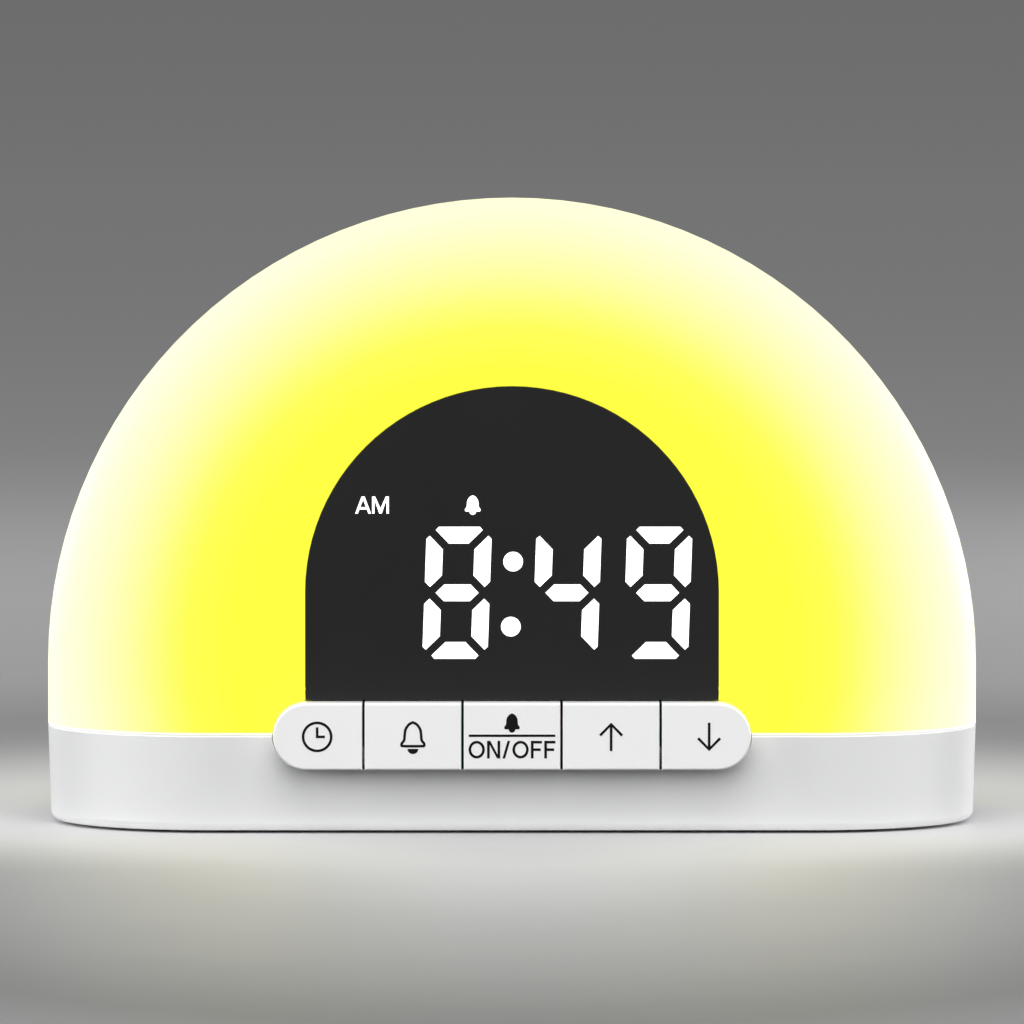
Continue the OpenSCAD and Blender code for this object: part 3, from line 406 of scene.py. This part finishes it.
def segment(key):
    """Outline of one segment about the digit's middle, with the digit's lean."""
    shape, flip_x, flip_y = SEGMENTS[key]
    loop = []
    for px, py in segment_points(shape):
        x = (DIGIT_W - px if flip_x else px) - DIGIT_W / 2
        z = (py if flip_y else DIGIT_H - py) - DIGIT_H / 2
        loop.append((x + z * LEAN, z))
    return loop


# Letters, as single outlines in a box of width w and height h with stroke t

def letter_a(w, h, t):
    top, leg, low = 0.62 * t, 1.12 * t, 0.24 * h

    def edge(z):
        return (w / 2 - top) * z / h

    high = low + t
    peak = h * (w / 2 - leg) / (w / 2 - top)
    outer = [(0, 0), (w / 2 - top, h), (w / 2 + top, h), (w, 0), (w - leg, 0),
             (w - edge(low) - leg, low), (edge(low) + leg, low), (leg, 0)]
    hole = [(edge(high) + leg, high), (w - edge(high) - leg, high), (w / 2, peak)]
    return [outer, hole]


def letter_m(w, h, t):
    top, foot = 1.3 * t, 0.5 * t
    return [[(0, 0), (0, h), (top, h), (w / 2, 0.3 * h), (w - top, h), (w, h), (w, 0), (w - t, 0),
             (w - t, 0.8 * h), (w / 2 + foot, 0), (w / 2 - foot, 0), (t, 0.8 * h), (t, 0)]]


def letter_n(w, h, t):
    top = 1.2 * t
    drop = 1.5 * t
    return [[(0, 0), (0, h), (top, h), (w - t, drop), (w - t, h), (w, h), (w, 0), (w - top, 0),
             (t, h - drop), (t, 0)]]


def letter_f(w, h, t):
    arm = 0.5 * h
    return [[(0, 0), (0, h), (w, h), (w, h - t), (t, h - t), (t, arm + t / 2), (0.88 * w, arm + t / 2),
             (0.88 * w, arm - t / 2), (t, arm - t / 2), (t, 0)]]


def letter_o(w, h, t):
    return moved(ring(w / 2, t, h / w), w / 2, h / 2)


def stroke_mark(w, h, t):
    return [[(0, 0), (w - t, h), (w, h), (t, 0)]]


def row(letters, h, t, gap):
    """Outlines of a centred row of (letter, width), of height h and stroke t."""
    total = sum(w for _, w in letters) + gap * (len(letters) - 1)
    x, loops = -total / 2, []
    for letter, w in letters:
        loops += moved(letter(w, h, t), x, -h / 2)
        x += w + gap
    return loops


# Signs

# The bell's right side from its crown to its rim, its rim's height, and the clapper's half width and drop,
# all as shares of the bell's height
BELL_SIDE = [(0.0, 0.5), (0.15, 0.42), (0.27, 0.24), (0.3, 0.04), (0.315, -0.09), (0.38, -0.18), (0.4, -0.27),
             (0.36, -0.33)]
BELL_RIM = -0.335
CLAPPER_W, CLAPPER_DROP = 0.17, 0.165


def bell(height, line=None):
    """A bell about its middle: filled, or drawn with a line of that width."""
    right = [(x * height, z * height) for x, z in smooth(BELL_SIDE) + [(CLAPPER_W, BELL_RIM)]]
    left = [(-x, z) for x, z in reversed(right[1:])]
    turn = [-math.pi * i / CURVE_STEPS for i in range(CURVE_STEPS + 1)]
    round_off = [(CLAPPER_W * math.cos(a), BELL_RIM + CLAPPER_DROP * math.sin(a)) for a in turn]
    clapper = [(x * height, z * height) for x, z in round_off]
    if line is None:
        return [right + clapper[1:-1] + left]
    shell = right + left
    return [shell, inset(shell, line), moved([clapper], 0, -line / 2)[0]]


def clock_face(r, line):
    """A ring with hands at three o'clock."""
    minute, hour, half = 0.62 * r, 0.5 * r, line / 2
    hands = [(-half, -half), (-half, minute), (half, minute), (half, half), (hour, half), (hour, -half)]
    return ring(r, line) + [hands]


def arrow(height, line, down=False):
    """An upright arrow with an open head."""
    arm = 0.42 * height
    tip = height / 2
    slant = line * math.sqrt(2)
    crotch = tip - slant - 0.35 * line
    half = [(0, tip), (arm, tip - arm), (arm - slant / 2, tip - arm - slant / 2), (line / 2, crotch),
            (line / 2, -tip)]
    loop = half + [(-x, z) for x, z in reversed(half[1:])]
    if down:
        loop = [(x, -z) for x, z in loop]
    return [loop]


# Lit content of the display

LIT_T = 0.06 * MM
MASK_OVER = 0.07
lit_white = lit("lit_white", (1.0, 1.0, 1.0), 1.06)


def display_piece(name, loops, x, z):
    flat_piece(name, loops, Vector((x, LENS_FRONT, z)), LIT_T, lit_white, "body")


def masked(loops):
    """The lens's mask covers the edge of each segment."""
    return [inset(loop, MASK_OVER) for loop in loops]


for place, digit in TIME_SHOWN.items():
    at = middle(*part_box(place + "_segments"))
    display_piece("lit_" + place, masked(segment(key) for key in LIT_SEGMENTS[digit]), at.x, at.z)

DOT_R = 1.8
dots_low, dots_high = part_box("colon_dots")
dots_middle = middle(dots_low, dots_high)
dot_rise = (dots_high.z - dots_low.z) / 2 - DOT_R * MM
for label, rise in (("upper", dot_rise), ("lower", -dot_rise)):
    display_piece("lit_colon_" + label, masked([circle(DOT_R)]), dots_middle.x + rise * LEAN,
                  dots_middle.z + rise)

FLAG_WINDOW_W, BELL_WINDOW_W = 6.6 * MM, 3.6 * MM
FLAG_H, FLAG_LINE = 3.0, 0.42
status_low, status_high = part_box("status_windows")
status_z = middle(status_low, status_high).z
flag = row([(letter_a, 2.8), (letter_m, 2.95)], FLAG_H, FLAG_LINE, 0.18)
display_piece("lit_morning_flag", flag, status_low.x + FLAG_WINDOW_W / 2, status_z)
display_piece("lit_bell", bell(3.45), status_high.x - BELL_WINDOW_W / 2, status_z)

# Printed signs on the keys

INK_T = 0.03 * MM
LINE = 0.46
BAR_LINE = 0.42
WORDS_H = 3.1
ink = moulded("sign_ink", (0.004, 0.004, 0.004), 0.6, 0.2, 9000.0, 0.002 * MM, 0.1)
key_front = min(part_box(key)[0].y for key in KEYS)
key_row_z = middle(*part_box("time_key")).z


def key_sign(key, name, loops, shift=0.0, rise=0.0):
    """A sign at the middle of a key's front, moved by shift and rise in millimetres."""
    at = Vector((middle(*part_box(key)).x + shift * MM, key_front, key_row_z + rise * MM))
    flat_piece(name, loops, at, INK_T, ink, key)


on_off = row([(letter_o, 2.85), (letter_n, 2.3), (stroke_mark, 1.35), (letter_o, 2.85), (letter_f, 1.95),
              (letter_f, 1.95)], WORDS_H, LINE, 0.4)
key_sign("time_key", "time_sign", clock_face(2.7, LINE), shift=0.4)
key_sign("alarm_key", "alarm_sign", bell(5.6, LINE))
key_sign("alarm_switch_key", "alarm_switch_sign", bell(3.4), rise=2.45)
key_sign("alarm_switch_key", "alarm_switch_bar", bar(15.2, BAR_LINE), rise=0.2)
key_sign("alarm_switch_key", "alarm_switch_words", on_off, rise=-2.25)
key_sign("up_key", "up_sign", arrow(5.0, LINE))
key_sign("down_key", "down_sign", arrow(5.0, LINE, down=True))

# ---- Floor, light and camera ----

FLOOR_FAR = 6.0
# Painted light and shade on the floor: tones by distance in metres from the object's middle
FAR_PAINTED_LIGHT = [(0.6, 0.46), (1.4, 0.64), (2.9, 0.78)]
FRONT_PAINTED_LIGHT = [(0.0, 0.42), (0.1, 0.6), (0.2, 0.4), (0.37, 0.2)] + FAR_PAINTED_LIGHT
BACK_PAINTED_LIGHT = [(0.0, 0.45), (0.1, 0.74), (0.2, 0.3), (0.25, 0.26), (0.35, 0.36)] + FAR_PAINTED_LIGHT


def painted_light_by_distance(tree, tones, stretch=1.0):
    """Painted light and shade as grey tones round the object; stretch draws them together along X."""
    reach = distance_from(tree, (0, 0, 0), (stretch, 1, 1))
    stops = [(at / FLOOR_FAR, (tone, tone, 1.02 * tone)) for at, tone in tones]
    return ramp(tree, ranged(tree, reach, 0.0, 1.0, 0.0, FLOOR_FAR), stops)


def floor():
    """Pale, with a painted pool of light brightest round the object and painted shade further out, one set of
    tones in front of it and one behind.
    Further to the front its colour is darkened as painted shade, as the large lamp hangs over it there."""
    bpy.ops.mesh.primitive_circle_add(vertices=96, radius=14.0, fill_type="NGON")
    piece = bpy.context.object
    piece.name = "floor"
    material, tree, shader = new_material("floor")
    behind = ranged(tree, along(tree, "Y"), 0.0, 1.0, -0.12, 0.0, "SMOOTHSTEP")
    front_painted_light = painted_light_by_distance(tree, FRONT_PAINTED_LIGHT, 2.5)
    tones = mixed(tree, behind, front_painted_light, painted_light_by_distance(tree, BACK_PAINTED_LIGHT))
    # Painted shade: the floor's colour is scaled down towards the front
    painted_front_shade = tree.nodes.new("ShaderNodeVectorMath")
    painted_front_shade.operation = "SCALE"
    tree.links.new(tones, painted_front_shade.inputs[0])
    tree.links.new(ranged(tree, along(tree, "Y"), 0.4, 1.0, -1.2, -0.2, "SMOOTHSTEP"), painted_front_shade.inputs["Scale"])
    tree.links.new(painted_front_shade.outputs["Vector"], shader.inputs["Base Color"])
    uneven_gloss(tree, shader, noise(tree, 30.0), 0.5, 0.6)
    shader.inputs["Specular IOR Level"].default_value = 0.3
    piece.data.materials.append(material)
    piece.visible_diffuse = False
    piece.visible_shadow = False


def bounce_plate(name, reach, tone, drop):
    """A plate that no camera sees, in the outline of the base and reach wider all round."""
    half, r = DISC_R - RIM_R, RIM_R + reach
    turn = [math.pi * (i / CURVE_STEPS - 0.5) for i in range(CURVE_STEPS + 1)]
    right = [(half + r * math.cos(a), r * math.sin(a)) for a in turn]
    outline = right + [(-x, -y) for x, y in right]
    mesh = bpy.data.meshes.new(name)
    mesh.from_pydata([(x, y, -drop) for x, y in outline], [], [range(len(outline))])
    mesh.materials.append(moulded(name, (tone, tone, tone), 0.9, specular=0.0))
    piece = bpy.data.objects.new(name, mesh)
    bpy.context.scene.collection.objects.link(piece)
    piece.visible_camera = False
    piece.visible_glossy = False


def bounce_floor():
    """Sends a weaker light up than the pale floor would, so that the shadow under the keys stays deep.
    A bright strip close round the base lights its lower edge from below."""
    bounce_plate("bounce_far", 3.0, 0.02, 0.1 * MM)
    bounce_plate("bounce_near", 1.5 * MM, 0.85, 0.05 * MM)


def softbox(name, at, aim, width, height, watts, spread=180):
    light = bpy.data.lights.new(name, "AREA")
    light.shape = "RECTANGLE"
    light.size = width
    light.size_y = height
    light.energy = watts
    light.spread = math.radians(spread)
    lamp = bpy.data.objects.new(name, light)
    lamp.location = at
    lamp.rotation_euler = (Vector(aim) - Vector(at)).to_track_quat("-Z", "Y").to_euler()
    lamp.visible_camera = False
    bpy.context.scene.collection.objects.link(lamp)


def camera():
    """At the photograph's angle: dead ahead, a little above, with a long lens."""
    distance, elevation, aim_z = 2.5, math.radians(3.5), 0.055
    shown_width = 0.18204
    data = bpy.data.cameras.new("camera")
    data.sensor_width = 36.0
    data.lens = data.sensor_width * distance / shown_width
    piece = bpy.data.objects.new("camera", data)
    piece.location = (0, -distance * math.cos(elevation), aim_z + distance * math.sin(elevation))
    piece.rotation_euler = (math.pi / 2 - elevation, 0, 0)
    bpy.context.scene.collection.objects.link(piece)
    bpy.context.scene.camera = piece


def world():
    sky = bpy.data.worlds.new("studio")
    sky.use_nodes = True
    tree = sky.node_tree
    parts = tree.nodes.new("ShaderNodeSeparateXYZ")
    tree.links.new(tree.nodes.new("ShaderNodeTexCoord").outputs["Generated"], parts.inputs[0])
    height = ranged(tree, parts.outputs["Z"], 0.0, 1.0, -1.0, 1.0)
    stops = [(at, (tone, tone, tone)) for at, tone in ((0.46, 0.06), (0.54, 0.16), (1.0, 0.2))]
    tree.links.new(ramp(tree, height, stops), tree.nodes["Background"].inputs["Color"])
    bpy.context.scene.world = sky


floor()
bounce_floor()
softbox("front_softbox", (0, -1.32, 0.94), (0, 0, 0.03), 2.0, 1.63, 22.5)
softbox("left_softbox", (-1.5, -0.3, 0.5), (0, 0, 0.03), 1.0, 1.0, 2.2, 60)
softbox("right_softbox", (1.5, -0.2, 0.45), (0, 0, 0.03), 1.0, 1.0, 1.9, 60)
softbox("top_softbox", (0, -0.65, 1.5), (0, 0, 0.05), 1.6, 0.6, 8)
softbox("left_rim_softbox", (-0.6, 0.75, 0.14), (0, 0, 0.02), 0.3, 0.3, 1.6)
softbox("right_rim_softbox", (0.6, 0.75, 0.14), (0, 0, 0.02), 0.3, 0.3, 2.8)
camera()
world()
bpy.context.scene.view_settings.view_transform = "Standard"
